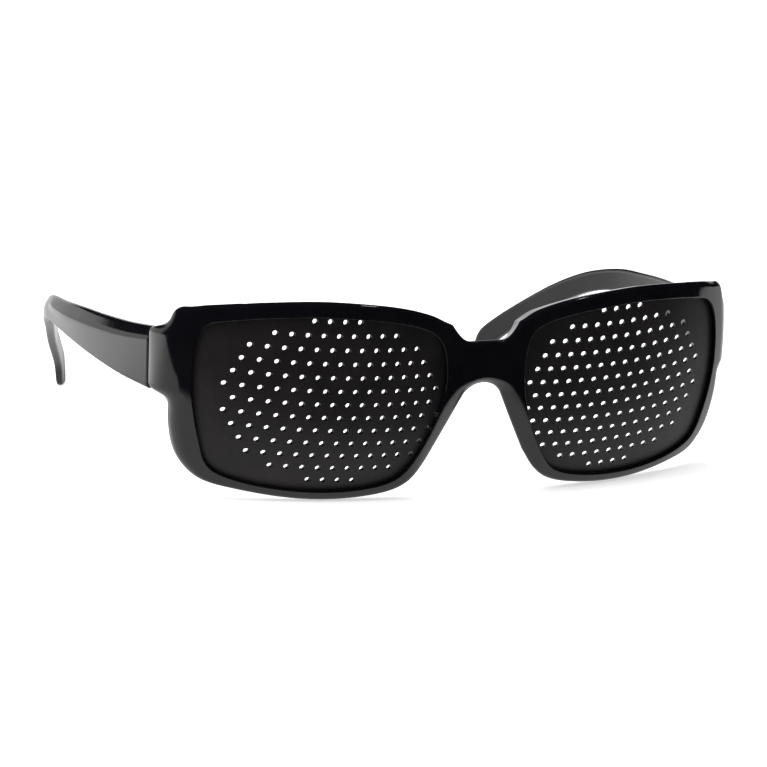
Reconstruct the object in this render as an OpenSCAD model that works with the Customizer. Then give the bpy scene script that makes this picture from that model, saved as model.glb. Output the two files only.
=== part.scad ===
// Pinhole glasses: a moulded front with two perforated plates and two folding arms.
// X runs across the face to the wearer's left, Y runs from the front to the ears, Z is up.
// The glasses stand on the lower rims and on the two ear tips, and the origin is
// on that resting plane, under the middle of the whole object.

/* [Lens openings] */
// Width of each opening in the front
lens_w = 54; // [46:0.5:58]
// Height of each opening
lens_h = 40; // [34:0.5:44]
// Gap between the two openings, measured across the nose
lens_gap = 19; // [18:0.5:24]
// How far the middle of the openings lies below the pupils
lens_drop = 0.8; // [0:0.1:3]
// Front radius of the curved plates
lens_curve_r = 73; // [66:1:90]
// Distance from the middle of the glasses to each plate's centre of curvature
lens_axis_x = 19.7; // [16:0.1:26]
// Height of the centre of curvature below the pupils
lens_axis_drop = 4; // [0:0.5:8]
// Forward tilt of the front
front_tilt = 8.8; // [4:0.1:12]

/* [Pinholes] */
// Distance between the middles of the two hole patterns, in front of the eyes
pattern_distance = 66.6; // [62:0.2:69]
// Diameter of each pinhole
hole_d = 1.2; // [0.8:0.1:1.5]
// Distance between neighbouring holes of a row
hole_pitch = 3.04; // [2.7:0.02:3.1]
// Distance between rows
row_pitch = 3.02; // [2.6:0.02:3.1]
// Outward turn of the holes, which all run the same way through the curved plate
hole_turn = 12.6; // [8:0.2:16]

/* [Plates] */
// Thickness of each perforated plate
plate_t = 0.9; // [0.6:0.1:1.2]
// How far a plate reaches into the groove of its rim
plate_lap = 1; // [0.6:0.1:1.3]
// Gap between a plate and its groove
plate_fit = 0.05; // [0.02:0.01:0.1]

/* [Front] */
// How far the face of the rims stands in front of the plates
rim_proud = 1.3; // [0.8:0.1:2]
// Thickness of the rims from front to back
rim_depth = 4; // [3.6:0.1:5.5]
// Width of the rims below the openings
rim_band = 2.5; // [2:0.1:3.5]
// Width of the rims above the openings
rim_top = 3.3; // [2.4:0.1:4]
// Width of the rims beside the nose
rim_nose = 5.4; // [4:0.1:6]
// Width of the rims beside the arms
rim_side = 3.3; // [3:0.1:5]
// Extra width of the rims at the lower corner beside the arms
rim_corner = 4.6; // [3:0.1:6]
// Half width out to the shoulder, which squares the upper corner of the rims
shoulder_x = 66.2; // [65:0.1:68]
// Height of the shoulder above the pupils
shoulder_top = 18.1; // [17:0.1:19]
// Radius of the shoulder
shoulder_r = 3; // [1.5:0.1:4]
// Rise of the shoulder's top edge towards the middle
shoulder_slope = 7.5; // [6:0.5:12]
// Height of the top of the bridge above the pupils
bridge_top = 13.8; // [12:0.1:15]
// Width over which the bridge joins each rim
bridge_join = 3.4; // [2.6:0.1:4]
// Height of the top of the nose arch above the pupils
arch_top = 3.7; // [2:0.1:5]
// Radius of the top of the nose arch
arch_r = 5; // [4:0.1:6]
// Slope of the sides of the nose arch from upright
arch_flare = 26.5; // [22:0.5:32]
// Depth of the narrowest part of the arch behind the face of the rims
arch_throat = 2.4; // [1.8:0.1:3]
// Angle from straight ahead at which the arch opens to the front
arch_funnel = 56; // [40:1:62]
// Angle at which the sides of the arch open towards the back, to sit on the nose
arch_splay = 20; // [10:1:25]
// Depth of the bridge from front to back
bridge_depth = 6.2; // [4.5:0.1:7]
// Radius of the corners between the bridge and the rims
bridge_fillet = 4.5; // [2:0.1:5]

/* [End pieces] */
// Distance from the front of the plates back to the seam with the arms
seam_depth = 25; // [23:0.5:28]
// Gap of the seam between an end piece and its arm
seam_gap = 0.12; // [0.1:0.01:0.2]
// Outer half width of the glasses at the seam
seam_half_w = 69.8; // [68:0.1:74]

/* [Arms] */
// Length of each arm from the seam to the end of the ear tip, measured straight back
arm_reach = 107; // [95:1:120]
// Height of the arm at the seam
root_h = 14; // [11:0.1:15]
// Thickness of the arm at the seam
root_t = 4.2; // [3.8:0.1:5]
// Height of the middle of the arm above the pupils
arm_rise = 7.6; // [5:0.1:9]
// How far the arm bows outward from the seam
arm_bow = 6.8; // [4:0.1:9]
// How far the ear tip turns in from the seam
ear_turn = 11.4; // [8:0.1:15]
// Height of the arm where it starts to bend down
neck_h = 5.1; // [4.5:0.1:7]
// Height of the ear tip
tip_h = 4.8; // [4.2:0.1:7]
// Thickness of the ear tip
tip_t = 1.9; // [1.8:0.1:3.2]

/* [Hinges] */
// Outer radius of the hinge knuckles
knuckle_r = 1.5; // [1.4:0.05:1.8]
// Height of the three knuckles together
hinge_h = 6.6; // [5.5:0.1:8]
// Radius of the hinge screw's shank
screw_r = 0.7; // [0.6:0.05:0.8]
// Running clearance of the screw in the knuckles
screw_fit = 0.04; // [0.02:0.01:0.08]
// Radius of the screw head
screw_head_r = 1.1; // [1:0.05:1.15]
// Height of the screw head
screw_head_h = 0.7; // [0.5:0.05:0.9]
// Width of the slot in the screw head
screw_slot = 0.35; // [0.25:0.05:0.45]
// Thickness of the hinge leaves
leaf_t = 1; // [0.8:0.05:1.1]
// Length of the leaf held in the arm
arm_leaf_l = 9; // [7:0.5:10]
// Angle at which the arm leaves the seam, outward
arm_leaf_turn = 14; // [8:1:16]
// Length of the leaf held in the end piece
front_leaf_l = 5; // [4.5:0.1:6]
// Gap between neighbouring knuckles
knuckle_gap = 0.06; // [0.04:0.01:0.1]
// Gap around the knuckles in the plastic
knuckle_room = 0.35; // [0.3:0.05:0.5]

/* [Hidden] */

// Number of holes in each row, from the top row down
row_holes = [4, 9, 12, 13, 14, 15, 14, 15, 14, 13, 12, 9, 4];

// Outline of an opening as shares of its half width and half height: x runs from
// the nose to the arm, y runs up, and the points go anticlockwise
opening_shape = [
    [1, 0.25], [0.975, 0.6], [0.9, 0.79], [0.76, 0.865], [0.45, 0.95],
    [0.03, 1], [-0.42, 0.97], [-0.74, 0.89], [-0.92, 0.77], [-0.99, 0.56],
    [-1, 0.25], [-0.965, -0.03], [-0.86, -0.42], [-0.72, -0.75], [-0.56, -0.9],
    [-0.25, -0.98], [0.12, -1], [0.5, -0.96], [0.76, -0.875], [0.87, -0.74],
    [0.935, -0.46], [0.985, -0.1]];
steps_per_point = 3;

function spline(a, b, c, d, t) =
    0.5 * (2 * b + (c - a) * t + (2 * a - 5 * b + 4 * c - d) * t * t
           + (3 * b - a - 3 * c + d) * t * t * t);
function closed_spline(p, n) = let (m = len(p))
    [for (i = [0:m - 1], k = [0:n - 1])
        spline(p[(i + m - 1) % m], p[i], p[(i + 1) % m], p[(i + 2) % m], k / n)];
function outward(c, i) = let (m = len(c), d = c[(i + 1) % m] - c[(i + m - 1) % m])
    [d[1], -d[0]] / norm(d);
function mix(a, b, t) = a + (b - a) * t;

// The opening, the plate and the rim share one outline, grown by different widths
lens_mid_x = (lens_gap + lens_w) / 2;
outline_shares = closed_spline(opening_shape, steps_per_point);
opening = [for (s = outline_shares)
    [lens_mid_x + s[0] * lens_w / 2, s[1] * lens_h / 2 - lens_drop]];
function grown(d) = [for (i = [0:len(opening) - 1]) opening[i] + d * outward(opening, i)];
// The rims are widest beside the nose, and square at the lower outer corner
band_low = -0.3;
band_high = 0.5;
upper_gain = 1.6;
function ease(low, high, x) = let (t = min(max((x - low) / (high - low), 0), 1))
    t * t * (3 - 2 * t);
function upper(share) = min(max(share[1] * upper_gain, 0), 1);
function side_power(share) = share[0] > 0 ? 6 + 6 * upper(share) : 4 + 16 * upper(share);
function rim_width(share) =
    mix(mix(rim_band, rim_top, ease(band_low, band_high, share[1])),
        share[0] > 0 ? rim_side : rim_nose, pow(abs(share[0]), side_power(share)))
    + rim_corner * pow(max(share[0], 0), 6) * max(-share[1], 0);
rim_outline = [for (i = [0:len(opening) - 1])
    opening[i] + rim_width(outline_shares[i]) * outward(opening, i)];

// Depth of the front of the plates at a point of the front view
curve_centre = [lens_axis_x, lens_curve_r, -lens_axis_drop];
function surface_y(p) = curve_centre[1] - sqrt(lens_curve_r * lens_curve_r
    - pow(p[0] - curve_centre[0], 2) - pow(p[1] - curve_centre[2], 2));

// The shoulder squares the upper outer corner of a rim above the end piece
shoulder_steps = 6;
shoulder_mid = [shoulder_x - shoulder_r, shoulder_top - shoulder_r];
shoulder_run = lens_w / 5;
shoulder_outline = concat(
    [[shoulder_x, lens_h / 4]],
    [for (k = [0:shoulder_steps]) let (a = (90 - shoulder_slope) * k / shoulder_steps)
        shoulder_mid + shoulder_r * [cos(a), sin(a)]],
    [shoulder_mid + shoulder_r * [sin(shoulder_slope), cos(shoulder_slope)]
         + shoulder_run * [-cos(shoulder_slope), sin(shoulder_slope)],
     shoulder_mid - [lens_w / 4, lens_h / 4]]);

// Resting height of the pupils, and the depth of the foremost point, on the bridge
rest_z = -min([for (p = rim_outline)
    (surface_y(p) - rim_proud) * sin(front_tilt) + p[1] * cos(front_tilt)]);
front_y = (curve_centre[1] - rim_proud) * cos(front_tilt)
    - curve_centre[2] * sin(front_tilt) - lens_curve_r;

// Everything below is drawn with y = 0 at the front of the plates and z = 0 at the pupils
module placed() { translate([0, -middle_y, rest_z]) children(); }
module tilted() { rotate([front_tilt, 0, 0]) children(); }
module both_sides() { children(); mirror([1, 0, 0]) children(); }
module on_side(side) { if (side > 0) children(); else mirror([1, 0, 0]) children(); }

// An outline of the front view pushed from depth y0 back to depth y1
module through(outline, y0, y1) {
    translate([0, y1, 0]) rotate([90, 0, 0]) linear_extrude(y1 - y0) polygon(outline);
}
// Everything between the curved surface moved back by y0 and the same surface at y1
module curved_slab(y0, y1) {
    difference() {
        translate(curve_centre + [0, y0, 0]) sphere(lens_curve_r, $fn = 96);
        translate(curve_centre + [0, y1, 0]) sphere(lens_curve_r, $fn = 96);
    }
}
slab_reach = seam_depth + 10;

// The bridge joins the rims, with an arch below it for the nose
arch_side_x = arch_r * cos(arch_flare);
arch_mid_z = arch_top - arch_r;
arch_steps = 10;
arch_low = lens_h / 2 + lens_drop + rim_band;
arch_outline = concat(
    [for (k = [0:arch_steps]) let (a = mix(arch_flare, 180 - arch_flare, k / arch_steps))
        [arch_r * cos(a), arch_mid_z + arch_r * sin(a)]],
    [for (s = [-1, 1])
        [s * (arch_side_x + (arch_low + arch_mid_z) * tan(arch_flare)), -arch_low]]);
bridge_half_w = lens_gap / 2 + bridge_join / 2;
bridge_low = -lens_h / 3;
fillet_mid = [bridge_half_w - bridge_join - 0.9 * bridge_fillet, bridge_top + bridge_fillet];
fillet_end = -15;
bridge_side = concat(
    [for (k = [0:arch_steps]) let (a = mix(-90, fillet_end, k / arch_steps))
        fillet_mid + bridge_fillet * [cos(a), sin(a)]],
    [[bridge_half_w, fillet_mid[1]], [bridge_half_w + bridge_join / 2, bridge_low]]);
bridge_outline = concat(bridge_side,
    [for (k = [len(bridge_side) - 1:-1:0]) [-bridge_side[k][0], bridge_side[k][1]]]);
// The bridge is curved up and down like the rims, and straight across
module bridge_curve(y0) {
    translate([-bridge_half_w * 2, curve_centre[1] - rim_proud + y0, curve_centre[2]])
        rotate([0, 90, 0]) cylinder(r = lens_curve_r, h = 4 * bridge_half_w, $fn = 180);
}
module bridge() {
    difference() {
        intersection() {
            through(bridge_outline, -rim_depth, slab_reach);
            bridge_curve(0);
        }
        bridge_curve(bridge_depth);
        both_sides() through(grown(plate_lap + plate_fit), -rim_depth, slab_reach);
    }
}
// The nose arch is narrowest at its throat and opens to the front and to the back
module nose_arch() {
    funnel_l = 2 * rim_depth;
    funnel_r = arch_r + funnel_l * tan(arch_funnel);
    translate([0, arch_throat - rim_proud, 0]) {
        for (turn = [-arch_splay, 0, arch_splay])
            rotate([0, 0, turn]) through(arch_outline, -rim_depth, slab_reach);
        translate([0, 0, arch_mid_z]) {
            rotate([90, 0, 0]) cylinder(r1 = arch_r, r2 = funnel_r, h = funnel_l, $fn = 96);
            both_sides() rotate([0, -arch_flare, 0]) translate([0, 0, -2 * arch_low])
                linear_extrude(2 * arch_low)
                    polygon([[0, 0], [arch_r, 0], [funnel_r, -funnel_l], [0, -funnel_l]]);
        }
    }
}

// The end piece carries the rim round to the seam, as one block seen from above
seam_in_x = seam_half_w - root_t;
end_shoulder = 0.8;
module end_piece() {
    rim_x = lens_mid_x + lens_w / 2 + rim_side / 2;
    start_y = surface_y([rim_x, 0]);
    translate([0, 0, arm_rise - root_h / 2]) linear_extrude(root_h) polygon([
        [rim_x, start_y],
        [rim_x + rim_side / 2, start_y + rim_proud],
        [seam_half_w - end_shoulder, mix(start_y, seam_depth, 0.5)],
        [seam_half_w, mix(start_y, seam_depth, 0.8)],
        [seam_half_w, seam_depth - seam_gap],
        [seam_in_x, seam_depth - seam_gap],
        [seam_in_x, seam_depth - front_leaf_l / 2],
        [rim_x - rim_side / 2, start_y + rim_depth]]);
}

// Hinge: three knuckles on the inner side of the seam, with a leaf each way
hinge_x = seam_in_x + leaf_t - knuckle_r;
hinge_z = arm_rise;
knuckle_h = (hinge_h - 2 * knuckle_gap) / 3;
module at_hinge() { translate([hinge_x, seam_depth, hinge_z]) children(); }
module knuckle(z0) {
    translate([0, 0, z0]) cylinder(r = knuckle_r, h = knuckle_h, $fn = 48);
}
module hinge_bore() {
    translate([0, 0, -hinge_h]) cylinder(r = screw_r + screw_fit, h = 2 * hinge_h, $fn = 32);
}
// A leaf from y0 to y1, or with extra thickness on its open side, the pocket for it
module leaf_plate(y0, y1, half_h, extra = 0) {
    translate([knuckle_r - leaf_t - extra, y0, -half_h])
        cube([leaf_t + extra, y1 - y0, 2 * half_h]);
}
module front_leaf() {
    at_hinge() difference() {
        union() {
            leaf_plate(-front_leaf_l, 0, hinge_h / 2);
            knuckle(-hinge_h / 2);
            knuckle(hinge_h / 2 - knuckle_h);
        }
        hinge_bore();
        translate([0, 0, hinge_h / 2 - screw_head_h])
            cylinder(r = screw_head_r + screw_fit, h = screw_head_h * 2, $fn = 32);
        // Room for the middle knuckle to turn
        translate([0, 0, -knuckle_h / 2 - knuckle_gap])
            cylinder(r = knuckle_r + knuckle_room, h = knuckle_h + 2 * knuckle_gap, $fn = 48);
    }
}
arm_leaf_half_h = hinge_h / 2 - 0.6;
module arm_leaf_plate(y1, half_h, extra = 0) {
    rotate([0, 0, -arm_leaf_turn]) leaf_plate(0, y1, half_h, extra);
}
module arm_leaf() {
    at_hinge() difference() {
        union() {
            difference() {
                arm_leaf_plate(arm_leaf_l, arm_leaf_half_h);
                translate([0, 0, -hinge_h])
                    cylinder(r = knuckle_r + knuckle_room, h = 2 * hinge_h, $fn = 48);
            }
            arm_leaf_plate(knuckle_r + 2 * knuckle_room, knuckle_h / 2);
            knuckle(-knuckle_h / 2);
        }
        hinge_bore();
    }
}
module hinge_screw() {
    at_hinge() difference() {
        union() {
            translate([0, 0, -hinge_h / 2])
                cylinder(r = screw_r, h = hinge_h - screw_head_h, $fn = 32);
            translate([0, 0, hinge_h / 2 - screw_head_h])
                cylinder(r = screw_head_r, h = screw_head_h, $fn = 32);
        }
        translate([-screw_head_r * 2, -screw_slot / 2, hinge_h / 2 - screw_head_h / 2])
            cube([screw_head_r * 4, screw_slot, screw_head_h]);
    }
}

// The room that the plastic leaves for the knuckles and the leaves
module hinge_room() {
    at_hinge() {
        translate([0, 0, -hinge_h / 2 - knuckle_room])
            cylinder(r = knuckle_r + knuckle_room, h = hinge_h + 2 * knuckle_room, $fn = 48);
        leaf_plate(-front_leaf_l, 0, hinge_h / 2, leaf_t);
        arm_leaf_plate(arm_leaf_l, arm_leaf_half_h, leaf_t);
    }
}

module front_frame() {
    color([0.02, 0.02, 0.025]) placed() difference() {
        union() {
            tilted() difference() {
                union() {
                    both_sides() intersection() {
                        union() {
                            through(rim_outline, -rim_depth, slab_reach);
                            through(shoulder_outline, -rim_depth, slab_reach);
                        }
                        curved_slab(-rim_proud, rim_depth - rim_proud);
                    }
                    bridge();
                }
                both_sides() through(opening, -rim_depth, slab_reach);
                both_sides() intersection() {
                    through(grown(plate_lap + plate_fit), -rim_depth, slab_reach);
                    curved_slab(-plate_fit, plate_t + plate_fit);
                }
                nose_arch();
            }
            both_sides() end_piece();
        }
        both_sides() hinge_room();
    }
}

// Holes of one pattern: all run one way, in rows that are staggered by half a pitch
module pinholes() {
    middle = [pattern_distance / 2, 0];
    translate([middle[0], surface_y(middle), 0]) rotate([0, 0, -hole_turn])
        for (r = [0:len(row_holes) - 1], k = [0:row_holes[r] - 1])
            translate([(k - (row_holes[r] - 1) / 2) * hole_pitch, slab_reach,
                       ((len(row_holes) - 1) / 2 - r) * row_pitch])
                rotate([90, 0, 0]) cylinder(r = hole_d / 2, h = 2 * slab_reach, $fn = 24);
}

module pinhole_plate(side) {
    color([0.1, 0.09, 0.1]) placed() tilted() on_side(side) difference() {
        intersection() {
            through(grown(plate_lap), -rim_depth, slab_reach);
            curved_slab(0, plate_t);
        }
        pinholes();
    }
}

// Stations along an arm: share of the reach, share of the outward bow, share of the
// inward turn, share of the drop to the ear tip, and how far the height has gone from
// the root to the neck and from the neck to the tip
arm_stations = [
    [0, 0, 0, 0, 0, 0], [0.11, 0.41, 0, 0.009, 0.26, 0], [0.22, 0.73, 0, -0.001, 0.49, 0],
    [0.335, 0.94, 0, -0.012, 0.7, 0], [0.45, 1, 0, -0.01, 0.89, 0],
    [0.56, 0.87, 0, 0.012, 0.97, 0], [0.67, 0.62, 0.1, 0.1, 1, 0],
    [0.77, 0.35, 0.26, 0.262, 1, 0.1], [0.863, 0.15, 0.46, 0.46, 1, 0.7],
    [0.95, 0.03, 0.76, 0.685, 1, 1], [0.987, 0, 0.92, 0.83, 1, 1], [1, 0, 1, 1, 1, 0.9]];
arm_steps = 4;

function open_spline(p, n) = let (m = len(p) - 1) concat(
    [for (i = [0:m - 1], k = [0:n - 1])
        spline(i > 0 ? p[i - 1] : 2 * p[0] - p[1], p[i], p[i + 1], p[min(i + 2, m)], k / n)],
    [p[m]]);
arm_curve = open_spline(arm_stations, arm_steps);
last_step = len(arm_curve) - 1;

// A band around a middle line whose points are given as depth and place across the depth:
// it is cut square at the seam
function band(mids, halves) = let (
    m = len(mids) - 1,
    ways = [for (i = [0:m]) let (run = mids[min(i + 1, m)] - mids[max(i - 1, 0)])
        mix([1, 0], run / norm(run), min(i / arm_steps, 1))],
    across = [for (i = [0:m]) [-ways[i][1], ways[i][0]] * halves[i] / norm(ways[i])])
    concat([for (i = [0:m]) mids[i] + across[i]], [for (i = [m:-1:0]) mids[i] - across[i]]);

// Side view of an arm: the last points draw in to round the tip
function arm_y(s) = seam_depth + s[0] * (arm_reach - tip_h / 4);
function tip_share(i) = let (k = i - last_step + arm_steps)
    k > 0 ? sqrt(1 - pow(k / (arm_steps + 0.6), 2)) : 1;
function arm_side(drop) = band(
    [for (s = arm_curve) [arm_y(s), arm_rise - s[3] * drop]],
    [for (i = [0:last_step]) let (s = arm_curve[i])
        mix(mix(root_h, neck_h, s[4]), tip_h, s[5]) / 2 * tip_share(i)]);

// Plan of an arm, carried on past the end of its middle line for the tip's height
arm_line = [for (s = arm_curve)
    [arm_y(s), seam_half_w - root_t / 2 + s[1] * arm_bow - s[2] * ear_turn]];
tip_way = arm_line[last_step] - arm_line[last_step - 1];
arm_plan = band(
    concat(arm_line, [arm_line[last_step] + tip_way / norm(tip_way) * tip_h]),
    concat([for (s = arm_curve) mix(root_t, tip_t, s[0]) / 2], [tip_t / 2]));

// The ear tips come down to the plane that the rims stand on
first_drop = arm_rise + rest_z;
ear_drop = first_drop + min([for (p = arm_side(first_drop)) p[1]]) + rest_z;
back_y = max([for (p = arm_side(ear_drop)) p[0]]);
middle_y = (front_y + back_y) / 2;

// An arm is its plan crossed with its side view
module arm_body() {
    intersection() {
        translate([0, 0, -2 * rest_z]) linear_extrude(4 * rest_z)
            polygon([for (p = arm_plan) [p[1], p[0]]]);
        rotate([90, 0, 90]) linear_extrude(2 * seam_half_w) polygon(arm_side(ear_drop));
    }
}
module temple_arm(side) {
    color([0.03, 0.03, 0.035]) placed() on_side(side) difference() {
        arm_body();
        hinge_room();
    }
}

module hinge_piece(side) { color([0.72, 0.72, 0.74]) placed() on_side(side) children(); }

front_frame();
pinhole_plate(-1);  // pinhole_plate_right
pinhole_plate(1);  // pinhole_plate_left
temple_arm(-1);  // temple_arm_right
temple_arm(1);  // temple_arm_left
hinge_piece(-1) front_leaf();  // hinge_front_leaf_right
hinge_piece(1) front_leaf();  // hinge_front_leaf_left
hinge_piece(-1) arm_leaf();  // hinge_arm_leaf_right
hinge_piece(1) arm_leaf();  // hinge_arm_leaf_left
hinge_piece(-1) hinge_screw();  // hinge_screw_right
hinge_piece(1) hinge_screw();  // hinge_screw_left
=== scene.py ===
import itertools
import math

import bpy
import numpy as np
from mathutils import Matrix, Vector


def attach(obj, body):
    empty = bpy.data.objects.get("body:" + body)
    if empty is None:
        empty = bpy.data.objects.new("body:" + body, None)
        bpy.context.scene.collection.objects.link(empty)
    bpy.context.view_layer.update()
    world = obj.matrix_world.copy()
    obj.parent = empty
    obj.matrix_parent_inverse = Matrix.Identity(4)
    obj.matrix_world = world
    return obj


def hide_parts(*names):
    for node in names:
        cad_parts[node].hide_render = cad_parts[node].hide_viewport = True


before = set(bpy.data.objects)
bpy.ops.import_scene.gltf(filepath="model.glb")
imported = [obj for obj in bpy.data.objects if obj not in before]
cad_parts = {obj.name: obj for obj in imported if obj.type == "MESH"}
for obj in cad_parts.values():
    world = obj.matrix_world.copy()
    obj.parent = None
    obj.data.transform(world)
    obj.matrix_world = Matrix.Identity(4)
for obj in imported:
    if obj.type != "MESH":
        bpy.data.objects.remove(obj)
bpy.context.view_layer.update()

MM = 0.001

# Driving dimensions in millimetres. They follow the part's own, and a few differ from them by
# some tenths to suit the rounded edges. Lengths are worked in the part's own drawing frame
# (y = 0 at the front of the plates, z = 0 at the pupils) and moved to the row frame in metres
# at the end.
LENS_W, LENS_H, LENS_GAP, LENS_DROP = 54.0, 40.0, 19.0, 0.8
CURVE_R, AXIS_X, AXIS_DROP, FRONT_TILT = 73.0, 19.7, 4.0, math.radians(8.8)
RIM_PROUD, RIM_DEPTH = 1.3, 4.0
RIM_BAND, RIM_TOP, RIM_NOSE, RIM_SIDE, RIM_CORNER = 2.5, 3.5, 5.4, 3.05, 5.4
SHOULDER_X, SHOULDER_TOP, SHOULDER_SLOPE, SHOULDER_R = 66.9, 18.3, math.radians(9), 2.8
BRIDGE_TOP, BRIDGE_DEPTH, BRIDGE_FILLET, BRIDGE_JOIN = 13.8, 6.2, 4.5, 3.4
ARCH_TOP, ARCH_R, ARCH_FLARE, ARCH_THROAT = 3.7, 5.3, math.radians(26.5), 2.4
ARCH_RISE, ARCH_FUNNEL, ARCH_SPLAY = math.radians(49), math.radians(64), math.radians(20)
SEAM_DEPTH, SEAM_GAP, SEAM_HALF_W = 25.0, 0.12, 69.8
ARM_REACH, ROOT_H, ROOT_T, ARM_RISE = 107.0, 14.0, 4.2, 7.6
ARM_BOW, EAR_TURN, NECK_H, TIP_H, TIP_T = 6.8, 11.4, 5.1, 4.8, 1.9
KNUCKLE_R, HINGE_H, LEAF_T, KNUCKLE_ROOM = 1.5, 6.6, 1.0, 0.35
ARM_LEAF_L, ARM_LEAF_TURN, FRONT_LEAF_L = 9.0, math.radians(14), 5.0
POCKET_END, ARM_LEAF_STEP = 0.5, 0.6

# The width of the rim goes with the share across the opening, -1 at the nose to 1 at the side,
# and with the share up
UPPER_GAIN, TOP_BAND = 1.6, (-0.3, 0.5)
SIDE_POWER, SIDE_POWER_UP, NOSE_POWER, NOSE_POWER_UP, CORNER_POWER = 6, 6, 4, 12, 6

# Radii of the moulded edges, and widths of the fillets between joined forms
EDGE_OUT, EDGE_SIDE, EDGE_BACK, EDGE_IN, EDGE_ARCH = 1.1, 1.8, 0.8, 0.35, 0.5
EDGE_TAB, EDGE_SEAM, EDGE_BARREL, EDGE_ROOM = 1.0, 0.2, 0.2, 0.15
SIDE_ROUND, SIDE_DEPTH, TAB_FILLET_TOP, TAB_FILLET_LOW = 4.0, 4.7, 6.5, 3.0
BRIDGE_BLEND, SHOULDER_BLEND, BACK_BLEND = 2.0, 1.6, 4.0
FILLET_SHIFT, FILLET_ARC, FILLET_STEPS = 0.9, (-90, -15), 40
SHOULDER_STEPS, SHOULDER_RUN, ARCH_STEPS = 16, 10, 60

# The outer walls of the rims lean in to a point this far behind the face, which is set back a
# little to stay inside the part
RIM_FOCUS, BRIDGE_FOCUS = CURVE_R, 0.6 * CURVE_R
FACE_BACK, MOST_BEHIND = 0.02, 12

# Bands across, up and in depth over which one form of the front turns into the next
CURVE_BAND, FOCUS_BAND = (6, 13), (5, 12)
BRIDGE_DEPTH_BAND, SIDE_DEPTH_BAND = (8.5, 20), (58, 66)
LEAN_NOSE_BAND, LEAN_SIDE_BAND, LEAN_TOP_BAND, LEAN_TOP = (2, 9), (50, 62), (9, 14), 0.6
WIDE_TOP_BAND, WIDE_CORNER_BAND = (4, 15.5), (-11, -2)
FUNNEL_BAND, THROAT_BAND, THROAT_REACH, THROAT_SOFT = (2, 9), (-1, 1), (-2, 14), 0.6

# Edges, bevel and crown of the arms. The bevel changes with the share of the arm's length
ARM_EDGE_ROOT, ARM_EDGE_TIP, ARM_CROWN_R, CROWN_RUN = 1.0, 0.75, 45.0, 8
BEVEL_SHARE, BEVEL_TALL = [0, 0.35, 0.75, 0.9, 1], [2.4, 3.0, 1.8, 0.8, 0.8]
BEVEL_WIDE, BEVEL_END, BEVEL_FADE = [1.8, 1.8, 1.1, 0.5, 0.5], (0.8, 0.93), 8
BEVEL_EDGE, CROWN_EDGE = 0.5, 0.4
ARM_STEPS, TIP_REACH, TIP_ROUND = 12, 4, 4.6

# Steps of the flat grids and of the nets
OPENING_STEPS, SHEET_STEP, CELL_FRONT, CELL_ARM = 16, 0.3, 0.3, 0.34
SHEET_MARGIN, OPENING_MARGIN, ARCH_MARGIN = 4.0, 12, 14
RIM_SHEET_LOW, RIM_SHEET_HIGH = [-8, -32], [80, 28]
NET_MARGIN, NET_SLAB, NET_ROUNDS, MOVE_STEP, NORMAL_STEP, AXIS_SNAP = 1.5, 16, 3, 0.05, 0.12, 0.35

# Plastics: the way of the pinholes from straight back, the gloss of their walls, and colours
HOLE_TURN, WALL_ROUGH, WALL_SLOPE, WALL_SOFT = math.radians(12.6), 0.12, 0.5, 0.1
GLOSS_DARK, GLOSS_PALE = (0.003, 0.003, 0.0045), (0.0045, 0.0045, 0.006)
SATIN_DARK, SATIN_PALE = (0.010, 0.008, 0.009), (0.017, 0.0135, 0.0155)
LEAF_COLOUR, SCREW_COLOUR = (0.62, 0.62, 0.64), (0.7, 0.7, 0.71)

# Studio: where glossy reflections find the floor white, in metres, the soft widths of those
# edges, and strengths
FLOOR_HALF, FLOOR_GREY, FLOOR_GLOW = 6.0, 0.8, 0.55
LEFT_WAY_X, LEFT_WAY_Y, LEFT_EDGE, LEFT_SOFT = 0.512, 0.859, -0.155, 0.01
BACK_EDGE, BACK_SOFT = -0.084, 0.012
FAR_BACK, FAR_BACK_SOFT, FAR_LEFT, FAR_LEFT_SOFT = 0.03, 0.1, 0.1, 0.06
REAR, REAR_SOFT, HIGH, HIGH_SOFT = 0.45, 0.2, 0.29, 0.06
ROOM_DARK, WORLD_FILL = 0.004, 0.35
CAMERA_PLACE, CAMERA_LENS, CAMERA_SENSOR = (-0.32694, -0.799003, 0.208247), 174.95, 36
CAMERA_BACK, CAMERA_RIGHT = (-0.37216, -0.90123, 0.22200), (0.92662, -0.37457, 0.03277)
CLIP_NEAR, CLIP_FAR = 0.01, 20

OPENING_SHAPE = np.array([
    [1, 0.25], [0.975, 0.6], [0.9, 0.79], [0.76, 0.865], [0.45, 0.95],
    [0.03, 1], [-0.42, 0.97], [-0.74, 0.89], [-0.92, 0.77], [-0.99, 0.56],
    [-1, 0.25], [-0.965, -0.03], [-0.86, -0.42], [-0.72, -0.75], [-0.56, -0.9],
    [-0.25, -0.98], [0.12, -1], [0.5, -0.96], [0.76, -0.875], [0.87, -0.74],
    [0.935, -0.46], [0.985, -0.1]])
ARM_STATIONS = np.array([
    [0, 0, 0, 0, 0, 0], [0.11, 0.41, 0, 0.007, 0.21, 0], [0.22, 0.73, 0, -0.002, 0.42, 0],
    [0.335, 0.94, 0, -0.013, 0.63, 0], [0.45, 1, 0, -0.011, 0.84, 0],
    [0.56, 0.87, 0, 0.01, 0.95, 0], [0.67, 0.62, 0.1, 0.1, 1, 0],
    [0.77, 0.35, 0.26, 0.262, 1, 0.1], [0.863, 0.15, 0.46, 0.46, 1, 0.7],
    [0.95, 0.03, 0.76, 0.685, 1, 1], [0.987, 0, 0.92, 0.83, 1, 1], [1, 0, 1, 1, 1, 0.9]])


def mix(a, b, t):
    return a + (b - a) * t


def ease(low, high, x):
    t = np.clip((x - low) / (high - low), 0, 1)
    return t * t * (3 - 2 * t)


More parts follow.
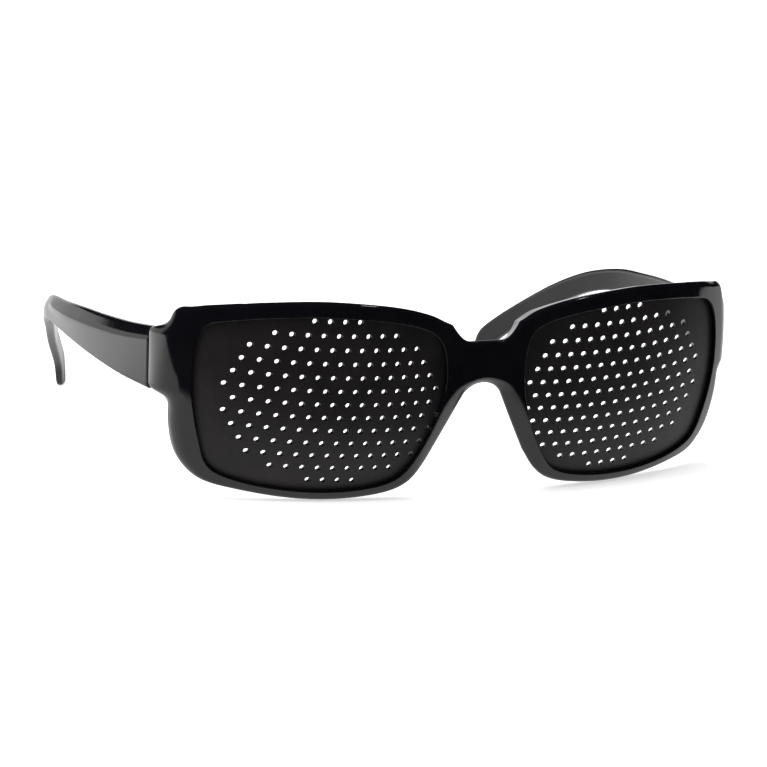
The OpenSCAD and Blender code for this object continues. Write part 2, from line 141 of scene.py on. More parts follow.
def spline(a, b, c, d, t):
    return 0.5 * (2 * b + (c - a) * t + (2 * a - 5 * b + 4 * c - d) * t * t
                  + (3 * b - a - 3 * c + d) * t ** 3)


def closed_spline(p, n):
    m = len(p)
    return np.array([spline(p[i - 1], p[i], p[(i + 1) % m], p[(i + 2) % m], k / n)
                     for i in range(m) for k in range(n)])


def open_spline(p, n):
    m = len(p) - 1
    rows = [spline(p[i - 1] if i else 2 * p[0] - p[1], p[i], p[i + 1], p[min(i + 2, m)], k / n)
            for i in range(m) for k in range(n)]
    return np.array(rows + [p[m]])


# The opening of the right-hand half of the picture, and the outline of its rim
lens_mid_x = (LENS_GAP + LENS_W) / 2
shares = closed_spline(OPENING_SHAPE, OPENING_STEPS)
opening = np.stack([lens_mid_x + shares[:, 0] * LENS_W / 2,
                    shares[:, 1] * LENS_H / 2 - LENS_DROP], 1)
run = np.roll(opening, -1, 0) - np.roll(opening, 1, 0)
outward = np.stack([run[:, 1], -run[:, 0]], 1) / np.linalg.norm(run, axis=1)[:, None]
on_side = shares[:, 0] > 0
outer_share, upper_share = np.maximum(shares[:, 0], 0), np.clip(shares[:, 1] * UPPER_GAIN, 0, 1)
band_width = mix(RIM_BAND, RIM_TOP, ease(*TOP_BAND, shares[:, 1]))
end_width = np.where(on_side, RIM_SIDE, RIM_NOSE)
end_power = np.where(on_side, SIDE_POWER + SIDE_POWER_UP * upper_share,
                     NOSE_POWER + NOSE_POWER_UP * upper_share)
rim_width = (mix(band_width, end_width, np.abs(shares[:, 0]) ** end_power)
             + RIM_CORNER * outer_share ** CORNER_POWER * np.maximum(-shares[:, 1], 0))
rim_outline = opening + rim_width[:, None] * outward
tilt_c, tilt_s = math.cos(FRONT_TILT), math.sin(FRONT_TILT)


def surface_y(x, z):
    return CURVE_R - np.sqrt(CURVE_R ** 2 - (x - AXIS_X) ** 2 - (z + AXIS_DROP) ** 2)


rest_z = -min((surface_y(x, z) - RIM_PROUD) * tilt_s + z * tilt_c for x, z in rim_outline)
front_y = (CURVE_R - RIM_PROUD) * tilt_c + AXIS_DROP * tilt_s - CURVE_R


# Signed distances to flat outlines are kept on fine grids and read back smoothly
def outline_distance(outline, u, v):
    best = np.full(u.shape, 1e9)
    inside = np.zeros(u.shape, bool)
    for (au, av), (bu, bv) in zip(outline, np.roll(outline, -1, 0)):
        eu, ev, wu, wv = bu - au, bv - av, u - au, v - av
        t = np.clip((wu * eu + wv * ev) / max(eu * eu + ev * ev, 1e-12), 0, 1)
        best = np.minimum(best, (wu - t * eu) ** 2 + (wv - t * ev) ** 2)
        if ev:
            inside ^= ((av > v) != (bv > v)) & (u < au + wv * eu / ev)
    return np.sqrt(best) * np.where(inside, -1, 1)


class Sheet:
    """Values over a flat grid, read back straight between its points or with a smooth curve."""

    def __init__(self, low, high, step, value):
        self.low, self.step = np.array(low, float), step
        count = np.ceil((np.array(high) - self.low) / step).astype(int) + 1
        u, v = np.meshgrid(*[self.low[k] + step * np.arange(count[k]) for k in (0, 1)],
                           indexing="ij")
        self.values = value(u, v)

    def at(self, u, v, smooth):
        n, m = self.values.shape
        i = np.clip((u - self.low[0]) / self.step, 1, n - 2.001)
        j = np.clip((v - self.low[1]) / self.step, 1, m - 2.001)
        i0, j0 = np.floor(i).astype(int), np.floor(j).astype(int)
        s, t = i - i0, j - j0
        f = self.values
        if not smooth:
            return ((f[i0, j0] * (1 - t) + f[i0, j0 + 1] * t) * (1 - s)
                    + (f[i0 + 1, j0] * (1 - t) + f[i0 + 1, j0 + 1] * t) * s)
        rows = []
        for k in (-1, 0, 1, 2):
            ik = np.clip(i0 + k, 0, n - 1)
            rows.append(spline(f[ik, j0 - 1], f[ik, j0], f[ik, j0 + 1],
                               f[ik, np.clip(j0 + 2, 0, m - 1)], t))
        return spline(*rows, s)


def outline_sheet(outline, margin=SHEET_MARGIN):
    outline = np.array(outline, float)
    return Sheet(outline.min(0) - margin, outline.max(0) + margin, SHEET_STEP,
                 lambda u, v: outline_distance(outline, u, v))


# Both at once, with their edge rounded to a radius
def both(a, b, radius):
    u, v = np.maximum(a + radius, 0), np.maximum(b + radius, 0)
    return np.minimum(np.maximum(a, b), -radius) + np.sqrt(u * u + v * v)


# Either of two, with the corner between them filled over a width
def either(a, b, width):
    h = np.maximum(width - np.abs(a - b), 0) / width
    return np.minimum(a, b) - h * h * width / 4


def arc(mid, radius, angles):
    return [mid + radius * np.array([math.cos(a), math.sin(a)]) for a in angles]


# Outlines of the bridge, of the nose arch, and of the shoulder, which squares the upper outer
# corner of the rim above the end piece
bridge_half_w = LENS_GAP / 2 + BRIDGE_JOIN / 2
fillet_mid = np.array([bridge_half_w - BRIDGE_JOIN - FILLET_SHIFT * BRIDGE_FILLET,
                       BRIDGE_TOP + BRIDGE_FILLET])
fillet = arc(fillet_mid, BRIDGE_FILLET, np.radians(np.linspace(*FILLET_ARC, FILLET_STEPS)))
bridge_side = fillet + [np.array([bridge_half_w + 1, fillet_mid[1] - BRIDGE_FILLET / 3]),
                        np.array([bridge_half_w + BRIDGE_JOIN / 2, -LENS_H / 3])]
bridge_outline = np.array(bridge_side + [p * [-1, 1] for p in reversed(bridge_side)])
arch_mid_z = ARCH_TOP - ARCH_R
arch_low = LENS_H
arch_side_x = ARCH_R * math.cos(ARCH_FLARE)
arch_side_z = arch_mid_z + ARCH_R * math.sin(ARCH_FLARE)
arch_foot = arch_side_x + (arch_low + arch_side_z) * math.tan(ARCH_FLARE)
arch_outline = (arc(np.array([0, arch_mid_z]), ARCH_R,
                    np.linspace(ARCH_FLARE, math.pi - ARCH_FLARE, ARCH_STEPS))
                + [[-arch_foot, -arch_low], [arch_foot, -arch_low]])
shoulder_mid = np.array([SHOULDER_X - SHOULDER_R, SHOULDER_TOP - SHOULDER_R])
shoulder = [[SHOULDER_X, LENS_H / 4]] + arc(
    shoulder_mid, SHOULDER_R, np.linspace(0, math.pi / 2 - SHOULDER_SLOPE, SHOULDER_STEPS))
slope_way = np.array([-math.cos(SHOULDER_SLOPE), math.sin(SHOULDER_SLOPE)])
shoulder += [shoulder[-1] + SHOULDER_RUN * slope_way, shoulder_mid - [LENS_W / 4, LENS_H / 4]]
rim_x = lens_mid_x + LENS_W / 2 + RIM_SIDE / 2
start_y = float(surface_y(rim_x, 0))
seam_in_x = SEAM_HALF_W - ROOT_T
sheet_open = outline_sheet(opening, OPENING_MARGIN)
sheet_rim = Sheet(RIM_SHEET_LOW, RIM_SHEET_HIGH, SHEET_STEP, lambda u, v: either(
    either(outline_distance(rim_outline, u, v), outline_distance(bridge_outline, u, v),
           BRIDGE_BLEND),
    outline_distance(shoulder, u, v), SHOULDER_BLEND))
sheet_arch = outline_sheet(arch_outline, ARCH_MARGIN)

hinge_x = seam_in_x + LEAF_T - KNUCKLE_R
hinge_z = ARM_RISE


def block(x, y, z, low, high):
    return np.maximum.reduce([low[0] - x, x - high[0], low[1] - y, y - high[1],
                              low[2] - z, z - high[2]])


# The room that the plastic leaves for the knuckles and the leaves
def hinge_room(x, y, z):
    x, y, z = x - hinge_x, y - SEAM_DEPTH, z - hinge_z
    tall = HINGE_H / 2 + KNUCKLE_ROOM
    barrel = both(np.hypot(x, y) - KNUCKLE_R - KNUCKLE_ROOM, np.abs(z) - tall, EDGE_BARREL)
    pocket = block(x, y, z, [KNUCKLE_R - 2 * LEAF_T, -FRONT_LEAF_L, -HINGE_H / 2],
                   [KNUCKLE_R, POCKET_END, HINGE_H / 2])
    c, s = math.cos(ARM_LEAF_TURN), math.sin(ARM_LEAF_TURN)
    u, v = x * c - y * s, x * s + y * c
    arm_pocket = block(u, v, z,
                       [KNUCKLE_R - 2 * LEAF_T, -POCKET_END, -HINGE_H / 2 + ARM_LEAF_STEP],
                       [KNUCKLE_R, ARM_LEAF_L, HINGE_H / 2 - ARM_LEAF_STEP])
    return np.minimum.reduce([barrel, pocket, arm_pocket])


# The whole moulded front on one side: below zero inside the plastic
def front_field(x, y, z, smooth=False):
    x = np.abs(x)
    depth_y, up = y * tilt_c + z * tilt_s, z * tilt_c - y * tilt_s
    rise = up + AXIS_DROP
    across = (x - AXIS_X) * ease(*CURVE_BAND, x)
    centre_y = CURVE_R - RIM_PROUD + FACE_BACK
    face = np.sqrt(across ** 2 + (depth_y - centre_y) ** 2 + rise ** 2) - CURVE_R
    thick = (mix(BRIDGE_DEPTH, RIM_DEPTH, ease(*BRIDGE_DEPTH_BAND, x))
             + (SIDE_DEPTH - RIM_DEPTH) * ease(*SIDE_DEPTH_BAND, x))
    back = CURVE_R - np.sqrt(across ** 2 + (depth_y - thick - centre_y) ** 2 + rise ** 2)
    behind = np.clip(-face, 0, MOST_BEHIND)
    grow = behind / (mix(BRIDGE_FOCUS, RIM_FOCUS, ease(*FOCUS_BAND, x)) - behind)
    lean = ease(*LEAN_NOSE_BAND, x) * (
        1 - ease(*LEAN_SIDE_BAND, x) * (1 - LEAN_TOP * ease(*LEAN_TOP_BAND, up)))
    rim = sheet_rim.at(x + (x - AXIS_X) * grow * lean, up + rise * grow, smooth)
    # The end piece carries the front round to the seam in one smooth turn
    tab = both(np.abs(z - ARM_RISE) - ROOT_H / 2, lens_mid_x + LENS_W / 2 - x, EDGE_TAB)
    walls = either(rim, tab, mix(TAB_FILLET_LOW, TAB_FILLET_TOP, ease(0, ROOT_H, z)))
    face = both(face, x - SEAM_HALF_W, SIDE_ROUND)
    inner = np.interp(y, [start_y + RIM_DEPTH, SEAM_DEPTH - FRONT_LEAF_L / 2],
                      [rim_x - RIM_SIDE / 2, seam_in_x]) - x
    backward = both(np.abs(z - ARM_RISE) - ROOT_H / 2, inner, EDGE_BACK)
    # The outer side of each rim has a wider edge, from the lower corner up to the shoulder
    low_corner = x - SHOULDER_X + up + LENS_H / 2
    wide = (1 - ease(*WIDE_TOP_BAND, up)) * ease(*WIDE_CORNER_BAND, low_corner)
    body = both(walls, face, mix(EDGE_OUT, EDGE_SIDE, wide))
    body = both(body, either(back, backward, BACK_BLEND), EDGE_BACK)
    body = both(body, y - SEAM_DEPTH + SEAM_GAP, EDGE_SEAM)
    body = both(body, -sheet_open.at(x, up, smooth), EDGE_IN)
    # The nose arch opens from its throat to the front and to the back
    deep = np.clip(depth_y + RIM_PROUD, *THROAT_REACH) - ARCH_THROAT
    bend = np.hypot(deep, THROAT_SOFT)
    ahead, past_throat = (bend - deep) / 2, (bend + deep) / 2
    funnel = mix(math.tan(ARCH_RISE), math.tan(ARCH_FUNNEL), ease(*FUNNEL_BAND, x))
    spread = (funnel * (ahead - THROAT_SOFT / 2)
              + math.tan(ARCH_SPLAY) * (past_throat - THROAT_SOFT / 2))
    slant = mix(np.cos(np.arctan(funnel)), math.cos(ARCH_SPLAY), ease(*THROAT_BAND, deep))
    arch = (sheet_arch.at(x, up, smooth) - spread) * slant
    body = both(body, -arch, EDGE_ARCH)
    return both(body, -hinge_room(x, y, z), EDGE_ROOM)


# Arms: a line of stations gives the plan and the side view, which are crossed
arm_curve = open_spline(ARM_STATIONS, ARM_STEPS)
LAST = len(arm_curve) - 1


def band(mids, halves):
    m = len(mids) - 1
    ways = np.array([mids[min(i + 1, m)] - mids[max(i - 1, 0)] for i in range(m + 1)])
    ways /= np.linalg.norm(ways, axis=1)[:, None]
    share = np.minimum(np.arange(m + 1) / ARM_STEPS, 1)[:, None]
    ways = mix(np.array([[1.0, 0.0]]), ways, share)
    ways /= np.linalg.norm(ways, axis=1)[:, None]
    across = np.stack([-ways[:, 1], ways[:, 0]], 1) * halves[:, None]
    return np.concatenate([mids + across, (mids - across)[::-1]])


arm_y = SEAM_DEPTH + arm_curve[:, 0] * (ARM_REACH - TIP_H / 4)
tip_k = (np.arange(LAST + 1) - LAST + ARM_STEPS) / ARM_STEPS
tip_share = np.where(
    tip_k > 0, np.sqrt(1 - (np.maximum(tip_k, 0) * TIP_REACH / TIP_ROUND) ** 2), 1)
half_h_full = mix(mix(ROOT_H, NECK_H, arm_curve[:, 4]), TIP_H, arm_curve[:, 5]) / 2
half_h = half_h_full * tip_share


def arm_side(drop):
    return band(np.stack([arm_y, ARM_RISE - arm_curve[:, 3] * drop], 1), half_h)


first_drop = ARM_RISE + rest_z
ear_drop = first_drop + arm_side(first_drop)[:, 1].min() + rest_z
side_outline = arm_side(ear_drop)
back_y = side_outline[:, 0].max()
middle_y = (front_y + back_y) / 2
arm_x = SEAM_HALF_W - ROOT_T / 2 + arm_curve[:, 1] * ARM_BOW - arm_curve[:, 2] * EAR_TURN
half_t = mix(ROOT_T, TIP_T, arm_curve[:, 0]) / 2
tip_way = np.array([arm_y[-1] - arm_y[-2], arm_x[-1] - arm_x[-2]])
tip_end = np.array([arm_y[-1], arm_x[-1]]) + tip_way / np.linalg.norm(tip_way) * TIP_H
plan_mids = np.concatenate([np.stack([arm_y, arm_x], 1), [tip_end]])
plan_outline = band(plan_mids, np.append(half_t, TIP_T / 2))
sheet_side = outline_sheet(side_outline)
sheet_top = outline_sheet(plan_outline)
arm_mid_z = ARM_RISE - arm_curve[:, 3] * ear_drop


def arm_field(x, y, z, smooth=False):
    side = sheet_side.at(y, z, smooth)
    plan = sheet_top.at(y, x, smooth)
    share = np.clip((y - SEAM_DEPTH) / ARM_REACH, 0, 1)
    body = both(side, plan, mix(ARM_EDGE_ROOT, ARM_EDGE_TIP, share))
    # Bevel along the outer top edge
    outer = x - np.interp(y, arm_y, arm_x + half_t)
    top = z - np.interp(y, arm_y, arm_mid_z + half_h_full)
    tall = np.interp(share, BEVEL_SHARE, BEVEL_TALL)
    wide = np.interp(share, BEVEL_SHARE, BEVEL_WIDE)
    bevel = (outer / wide + top / tall + 1) * wide * tall / np.hypot(wide, tall)
    body = both(body, bevel - BEVEL_FADE * ease(*BEVEL_END, share), BEVEL_EDGE)
    # The inner face is crowned
    above_mid = z - np.interp(y, arm_y, arm_mid_z)
    inner = np.interp(y, arm_y, arm_x - half_t) - x
    crown = above_mid ** 2 / (2 * ARM_CROWN_R) * ease(0, CROWN_RUN, y - SEAM_DEPTH)
    body = both(body, inner + crown, CROWN_EDGE)
    body = both(body, SEAM_DEPTH - y, EDGE_SEAM)
    return both(body, -hinge_room(x, y, z), EDGE_ROOM)


# Nets a surface through the cells that the field's zero passes through, then moves each
# point onto it and keeps the field's own slope as its normal
def net(field, low, high, cell):
    low = np.array(low, float)
    count = np.ceil((np.array(high) - low) / cell).astype(int) + 1
    axes = [low[k] + cell * np.arange(count[k]) for k in range(3)]
    values = np.empty(count, np.float32)
    for i in range(0, count[0], NET_SLAB):
        x, y, z = np.meshgrid(axes[0][i:i + NET_SLAB], axes[1], axes[2], indexing="ij")
        values[i:i + NET_SLAB] = field(x, y, z)
    sign = values < 0
    corners = list(itertools.product((0, 1), repeat=3))
    inside = sum(sign[a:count[0] - 1 + a, b:count[1] - 1 + b, c:count[2] - 1 + c].astype(int)
                 for a, b, c in corners)
    mixed = (inside > 0) & (inside < 8)
    cells = np.argwhere(mixed)
    index = np.full(mixed.shape, -1)
    index[mixed] = np.arange(len(cells))
    total, hits = np.zeros((len(cells), 3)), np.zeros(len(cells))
    for a in corners:
        for k in range(3):
            if a[k]:
                continue
            b = tuple(a[m] + (m == k) for m in range(3))
            fa, fb = values[tuple((cells + a).T)], values[tuple((cells + b).T)]
            cross = (fa < 0) != (fb < 0)
            t = fa[cross] / (fa[cross] - fb[cross])
            point = np.tile(np.array(a, float), (cross.sum(), 1))
            point[:, k] += t
            total[cross] += point
            hits[cross] += 1
    points = low + cell * (cells + total / hits[:, None])
    faces = []
    for k in range(3):
        m, n = (k + 1) % 3, (k + 2) % 3
        a = np.take(sign, range(count[k] - 1), k)
        b = np.take(sign, range(1, count[k]), k)
        edge = np.argwhere(a != b)
        edge = edge[(edge[:, m] > 0) & (edge[:, n] > 0)
                    & (edge[:, m] < count[m] - 1) & (edge[:, n] < count[n] - 1)]
        ring = []
        for dm, dn in ((1, 1), (0, 1), (0, 0), (1, 0)):
            c = edge.copy()
            c[:, m] -= dm
            c[:, n] -= dn
            ring.append(index[tuple(c.T)])
        quad = np.stack(ring, 1)
        flip = ~a[tuple(edge.T)]
        quad[flip] = quad[flip][:, ::-1]
        faces.append(quad)
    faces = np.concatenate(faces)

    def slope(p, h):
        g = np.stack([field(*(p + d).T, True) - field(*(p - d).T, True) for d in h * np.eye(3)],
                     1) / (2 * h)
        return g, np.maximum((g * g).sum(1), 1e-6)

    for _ in range(NET_ROUNDS):
        g, square = slope(points, MOVE_STEP)
        move = -field(*points.T, True) / square
        step = g * move[:, None]
        size = np.linalg.norm(step, axis=1)
        step *= np.minimum(1, cell / 2 / np.maximum(size, 1e-9))[:, None]
        points += step
    g, square = slope(points, NORMAL_STEP)
    return points, faces, g / np.sqrt(square)[:, None]


def to_row(points):
    return (points + [0, -middle_y, rest_z]) * MM


def make_piece(name, points, faces, normals, side=None):
    if side is None:
        points[:, 0] = np.where(points[:, 0] < AXIS_SNAP * CELL_FRONT, 0, points[:, 0])
        on_axis = points[:, 0] <= 0
        normals[on_axis, 0] = 0
        other = np.arange(len(points))
        other[~on_axis] = len(points) + np.arange((~on_axis).sum())
        points = np.concatenate([points, points[~on_axis] * [-1, 1, 1]])
        normals = np.concatenate([normals, normals[~on_axis] * [-1, 1, 1]])
        faces = np.concatenate([faces, other[faces][:, ::-1]])
    elif side < 0:
        points, normals = points * [-1, 1, 1], normals * [-1, 1, 1]
        faces = faces[:, ::-1]
    mesh = bpy.data.meshes.new(name)
    mesh.from_pydata(to_row(points).tolist(), [], faces.tolist())
    mesh.update()
    mesh.shade_smooth()
    normals = normals / np.maximum(np.linalg.norm(normals, axis=1), 1e-9)[:, None]
    mesh.normals_split_custom_set_from_vertices(normals.tolist())
    piece = bpy.data.objects.new(name, mesh)
    bpy.context.scene.collection.objects.link(piece)
    return piece


# Materials
def material(name, base, roughness, specular=0.5, metallic=0.0):
    m = bpy.data.materials.new(name)
    m.use_nodes = True
    tree = m.node_tree
    shader = tree.nodes["Principled BSDF"]
    shader.inputs["Base Color"].default_value = (*base, 1)
    shader.inputs["Roughness"].default_value = roughness
    shader.inputs["Specular IOR Level"].default_value = specular
    shader.inputs["Metallic"].default_value = metallic
    return m, tree, shader


def texture(tree, kind, scale, stretch=(1, 1, 1), **settings):
    coordinates = tree.nodes.new("ShaderNodeTexCoord")
    mapping = tree.nodes.new("ShaderNodeMapping")
    mapping.inputs["Scale"].default_value = stretch
    tree.links.new(coordinates.outputs["Object"], mapping.inputs["Vector"])
    node = tree.nodes.new(kind)
    node.inputs["Scale"].default_value = scale
    for key, value in settings.items():
        node.inputs[key].default_value = value
    tree.links.new(mapping.outputs["Vector"], node.inputs["Vector"])
    return node


def ramp(tree, source, low, high, a, b):
    node = tree.nodes.new("ShaderNodeValToRGB")
    for element, place, colour in zip(node.color_ramp.elements, (low, high), (a, b)):
        element.position = place
        element.color = (*colour, 1) if isinstance(colour, tuple) else (*(colour,) * 3, 1)
    tree.links.new(source, node.inputs["Fac"])
    return node.outputs["Color"]


def bump(tree, shader, source, strength, distance):
    node = tree.nodes.new("ShaderNodeBump")
    node.inputs["Strength"].default_value = strength
    node.inputs["Distance"].default_value = distance
    tree.links.new(source, node.inputs["Height"])
    tree.links.new(node.outputs["Normal"], shader.inputs["Normal"])


def math_node(tree, kind, *terms):
    node = tree.nodes.new("ShaderNodeMath")
    node.operation = kind
    for k, value in enumerate(terms):
        if isinstance(value, (int, float)):
            node.inputs[k].default_value = value
        else:
            tree.links.new(value, node.inputs[k])
    return node.outputs["Value"]


# From 0 to 1 as a value passes a limit, over a soft width
def past(tree, value, limit, width):
    node = tree.nodes.new("ShaderNodeMapRange")
    node.interpolation_type = "SMOOTHSTEP"
    node.inputs["From Min"].default_value = limit - width / 2
    node.inputs["From Max"].default_value = limit + width / 2
    tree.links.new(value, node.inputs["Value"])
    return node.outputs["Result"]


def gloss_plastic():
    m, tree, shader = material("gloss_black_plastic", (0.004, 0.004, 0.005), 0.1, 0.5)
    flow = texture(tree, "ShaderNodeTexNoise", 90, Detail=3, Roughness=0.5)
    tree.links.new(ramp(tree, flow.outputs["Fac"], 0.3, 0.75, GLOSS_DARK, GLOSS_PALE),
                   shader.inputs["Base Color"])
    wear = texture(tree, "ShaderNodeTexNoise", 260, Detail=4, Roughness=0.6)
    tree.links.new(ramp(tree, wear.outputs["Fac"], 0.35, 0.8, 0.07, 0.15),
                   shader.inputs["Roughness"])
    peel = texture(tree, "ShaderNodeTexNoise", 420, Detail=2, Roughness=0.4)
    bump(tree, shader, peel.outputs["Fac"], 0.12, 0.00008)
    return m


# The holes of a plate have glossy walls, told from its faces by their slope to the holes
def satin_plastic(side):
    m, tree, shader = material("satin_plastic_" + side, (0.017, 0.014, 0.016), 0.45, 0.3)
    cloud = texture(tree, "ShaderNodeTexNoise", 120, Detail=4, Roughness=0.6)
    tree.links.new(ramp(tree, cloud.outputs["Fac"], 0.3, 0.75, SATIN_DARK, SATIN_PALE),
                   shader.inputs["Base Color"])
    grain = texture(tree, "ShaderNodeTexNoise", 3200, Detail=3, Roughness=0.6)
    satin = ramp(tree, grain.outputs["Fac"], 0.3, 0.7, 0.38, 0.58)
    lie = tree.nodes.new("ShaderNodeTexCoord")
    along = tree.nodes.new("ShaderNodeVectorMath")
    along.operation = "DOT_PRODUCT"
    turn_x = HOLE_TURN if side == "left" else -HOLE_TURN
    along.inputs[1].default_value = (math.sin(turn_x), math.cos(turn_x) * tilt_c,
                                     math.cos(turn_x) * tilt_s)
    tree.links.new(lie.outputs["Normal"], along.inputs[0])
    steep = math_node(tree, "ABSOLUTE", along.outputs["Value"])
    wall = past(tree, steep, WALL_SLOPE, WALL_SOFT)
    rough = tree.nodes.new("ShaderNodeMix")
    rough.data_type = "FLOAT"
    rough.inputs["A"].default_value = WALL_ROUGH
    tree.links.new(wall, rough.inputs["Factor"])
    tree.links.new(satin, rough.inputs["B"])
    tree.links.new(rough.outputs["Result"], shader.inputs["Roughness"])
    bump(tree, shader, grain.outputs["Fac"], 0.5, 0.00005)
    return m


def hinge_steel(name, base, roughness, stretch):
    m, tree, shader = material(name, base, roughness, 0.5, 1.0)
    brush = texture(tree, "ShaderNodeTexNoise", 900, stretch, Detail=4, Roughness=0.65)
    dark = tuple(c * 0.8 for c in base)
    tree.links.new(ramp(tree, brush.outputs["Fac"], 0.3, 0.7, dark, base),
                   shader.inputs["Base Color"])
    tree.links.new(ramp(tree, brush.outputs["Fac"], 0.25, 0.75, roughness * 0.8, roughness * 1.4),
                   shader.inputs["Roughness"])
    bump(tree, shader, brush.outputs["Fac"], 0.2, 0.00003)
    return m


frame_plastic = gloss_plastic()
plate_plastic = {side: satin_plastic(side) for side in ("right", "left")}
leaf_steel = hinge_steel("nickelled_steel", LEAF_COLOUR, 0.28, (1, 0.12, 1))
screw_steel = hinge_steel("turned_steel", SCREW_COLOUR, 0.2, (1, 1, 0.3))


def dress(piece, finish):
    piece.data.materials.clear()
    piece.data.materials.append(finish)


front = make_piece("front_shell", *net(
    front_field, [-CELL_FRONT / 2, front_y - NET_MARGIN - 4, -rest_z - 1],
    [SEAM_HALF_W + NET_MARGIN, SEAM_DEPTH + NET_MARGIN, LENS_H / 2 + NET_MARGIN + 2], CELL_FRONT))
dress(front, frame_plastic)
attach(front, "front")
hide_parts("front_frame")

arm_net = net(arm_field,
              [arm_x.min() - TIP_T - NET_MARGIN, SEAM_DEPTH - NET_MARGIN, -rest_z - NET_MARGIN],
              [arm_x.max() + ROOT_T + NET_MARGIN, back_y + NET_MARGIN,
               ARM_RISE + ROOT_H / 2 + NET_MARGIN], CELL_ARM)
for name, side in (("right", -1), ("left", 1)):
    arm = make_piece("arm_" + name, *arm_net, side)
    dress(arm, frame_plastic)
    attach(arm, name + "_arm")
    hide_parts("temple_arm_" + name)
    dress(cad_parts["pinhole_plate_" + name], plate_plastic[name])
    for leaf in ("hinge_front_leaf_", "hinge_arm_leaf_"):
        dress(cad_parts[leaf + name], leaf_steel)
    dress(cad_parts["hinge_screw_" + name], screw_steel)

# Floor: pale, and white to the camera where nothing shades it. Glossy reflections find it
# white behind the object and to its left, twice as bright at the far left, and dark in front
floor_mesh = bpy.data.meshes.new("floor")
floor_mesh.from_pydata([(a * FLOOR_HALF, b * FLOOR_HALF, 0)
                        for a, b in ((-1, -1), (1, -1), (1, 1), (-1, 1))], [], [(0, 1, 2, 3)])
floor = bpy.data.objects.new("floor", floor_mesh)
bpy.context.scene.collection.objects.link(floor)

floor_paint = bpy.data.materials.new("floor_paint")
floor_paint.use_nodes = True
ft = floor_paint.node_tree
ft.nodes.clear()
out = ft.nodes.new("ShaderNodeOutputMaterial")
matt = ft.nodes.new("ShaderNodeBsdfDiffuse")
matt.inputs["Color"].default_value = (FLOOR_GREY, FLOOR_GREY, FLOOR_GREY, 1)
path = ft.nodes.new("ShaderNodeLightPath")
place = ft.nodes.new("ShaderNodeNewGeometry")
split = ft.nodes.new("ShaderNodeSeparateXYZ")
ft.links.new(place.outputs["Position"], split.inputs["Vector"])
fx, fy = split.outputs["X"], split.outputs["Y"]
aside = math_node(ft, "ADD", math_node(ft, "MULTIPLY", fx, LEFT_WAY_X),
                  math_node(ft, "MULTIPLY", fy, LEFT_WAY_Y))
white_area = math_node(ft, "MINIMUM", past(ft, aside, LEFT_EDGE, LEFT_SOFT),
                       past(ft, fy, BACK_EDGE, BACK_SOFT))
far_left = math_node(ft, "MULTIPLY", past(ft, fy, FAR_BACK, FAR_BACK_SOFT),
                     past(ft, math_node(ft, "MULTIPLY", fx, -1), FAR_LEFT, FAR_LEFT_SOFT))
brighter = math_node(ft, "ADD", 1, far_left)
camera_glow = math_node(ft, "MULTIPLY", path.outputs["Is Camera Ray"], FLOOR_GLOW)
gloss_glow = math_node(ft, "MULTIPLY", path.outputs["Is Glossy Ray"],
                       math_node(ft, "MULTIPLY", white_area, brighter))
glow = ft.nodes.new("ShaderNodeEmission")
ft.links.new(math_node(ft, "ADD", camera_glow, gloss_glow), glow.inputs["Strength"])
add = ft.nodes.new("ShaderNodeAddShader")
pick = ft.nodes.new("ShaderNodeMixShader")
ft.links.new(matt.outputs["BSDF"], add.inputs[0])
ft.links.new(glow.outputs["Emission"], add.inputs[1])
ft.links.new(path.outputs["Is Glossy Ray"], pick.inputs["Fac"])
ft.links.new(add.outputs["Shader"], pick.inputs[1])
ft.links.new(glow.outputs["Emission"], pick.inputs[2])
below = ft.nodes.new("ShaderNodeMixShader")
ft.links.new(place.outputs["Backfacing"], below.inputs["Fac"])
ft.links.new(pick.outputs["Shader"], below.inputs[1])
ft.links.new(ft.nodes.new("ShaderNodeBsdfTransparent").outputs["BSDF"], below.inputs[2])
ft.links.new(below.outputs["Shader"], out.inputs["Surface"])
floor_mesh.materials.append(floor_paint)

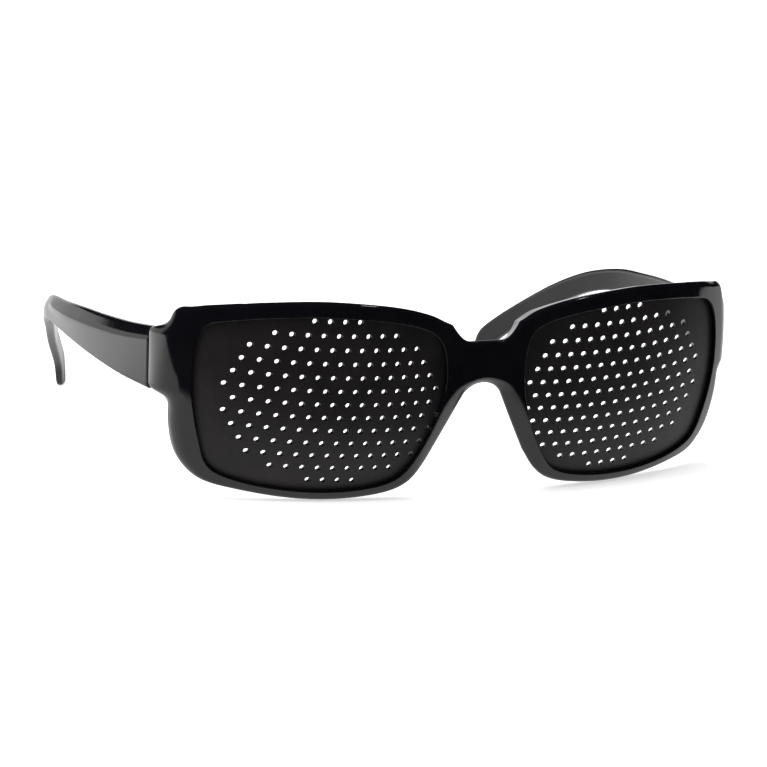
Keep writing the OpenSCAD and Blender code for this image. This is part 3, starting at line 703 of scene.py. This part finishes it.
# World: white to the camera. Reflections find a low pale backdrop behind the object and a
# dark room above and in front, and the rest of the light is plain and even
world = bpy.data.worlds.new("studio")
bpy.context.scene.world = world
world.use_nodes = True
wt = world.node_tree
wt.nodes.clear()
w_out = wt.nodes.new("ShaderNodeOutputWorld")
w_path = wt.nodes.new("ShaderNodeLightPath")
w_coord = wt.nodes.new("ShaderNodeTexCoord")
w_split = wt.nodes.new("ShaderNodeSeparateXYZ")
wt.links.new(w_coord.outputs["Generated"], w_split.inputs["Vector"])
rear = past(wt, w_split.outputs["Y"], REAR, REAR_SOFT)
low = math_node(wt, "SUBTRACT", 1.0, past(wt, w_split.outputs["Z"], HIGH, HIGH_SOFT))
backdrop = math_node(wt, "MULTIPLY", rear, low)
room = math_node(wt, "ADD", backdrop, ROOM_DARK)
w_gloss = math_node(wt, "MULTIPLY", w_path.outputs["Is Glossy Ray"], room)
w_fill = math_node(wt, "MULTIPLY", w_path.outputs["Is Diffuse Ray"], WORLD_FILL)
w_all = math_node(wt, "ADD", w_gloss, w_path.outputs["Is Camera Ray"])
w_all = math_node(wt, "ADD", w_all, w_fill)
w_shade = wt.nodes.new("ShaderNodeBackground")
w_shade.inputs["Color"].default_value = (1, 1, 1, 1)
wt.links.new(w_all, w_shade.inputs["Strength"])
wt.links.new(w_shade.outputs["Background"], w_out.inputs["Surface"])


def lamp(name, place, target, size, watts):
    data = bpy.data.lights.new(name, "AREA")
    data.shape = "RECTANGLE"
    data.size, data.size_y = size
    data.energy = watts
    light = bpy.data.objects.new(name, data)
    bpy.context.scene.collection.objects.link(light)
    light.location = place
    light.rotation_euler = (Vector(place) - Vector(target)).to_track_quat("Z", "Y").to_euler()
    return light


lamp("top_light", (-0.2, 0.2, 1.5), (0, 0, 0), (1.4, 1.4), 26).visible_glossy = False
lamp("left_light", (-1.3, -0.1, 0.7), (0, 0, 0.03), (0.7, 1.0), 10).visible_glossy = False
lamp("small_light", (0.4, -0.06, 1.13), (0, 0, 0), (0.08, 0.08), 0.6)

# Camera at the photograph's place
camera_data = bpy.data.cameras.new("camera")
camera = bpy.data.objects.new("camera", camera_data)
bpy.context.scene.collection.objects.link(camera)
camera_data.sensor_width = CAMERA_SENSOR
camera_data.lens = CAMERA_LENS
camera_data.clip_start = CLIP_NEAR
camera_data.clip_end = CLIP_FAR
back = Vector(CAMERA_BACK).normalized()
right = Vector(CAMERA_RIGHT)
right = (right - right.dot(back) * back).normalized()
above = back.cross(right)
turn = Matrix((right, above, back)).transposed()
camera.matrix_world = Matrix.Translation(CAMERA_PLACE) @ turn.to_4x4()
bpy.context.scene.camera = camera
bpy.context.scene.view_settings.view_transform = "Standard"
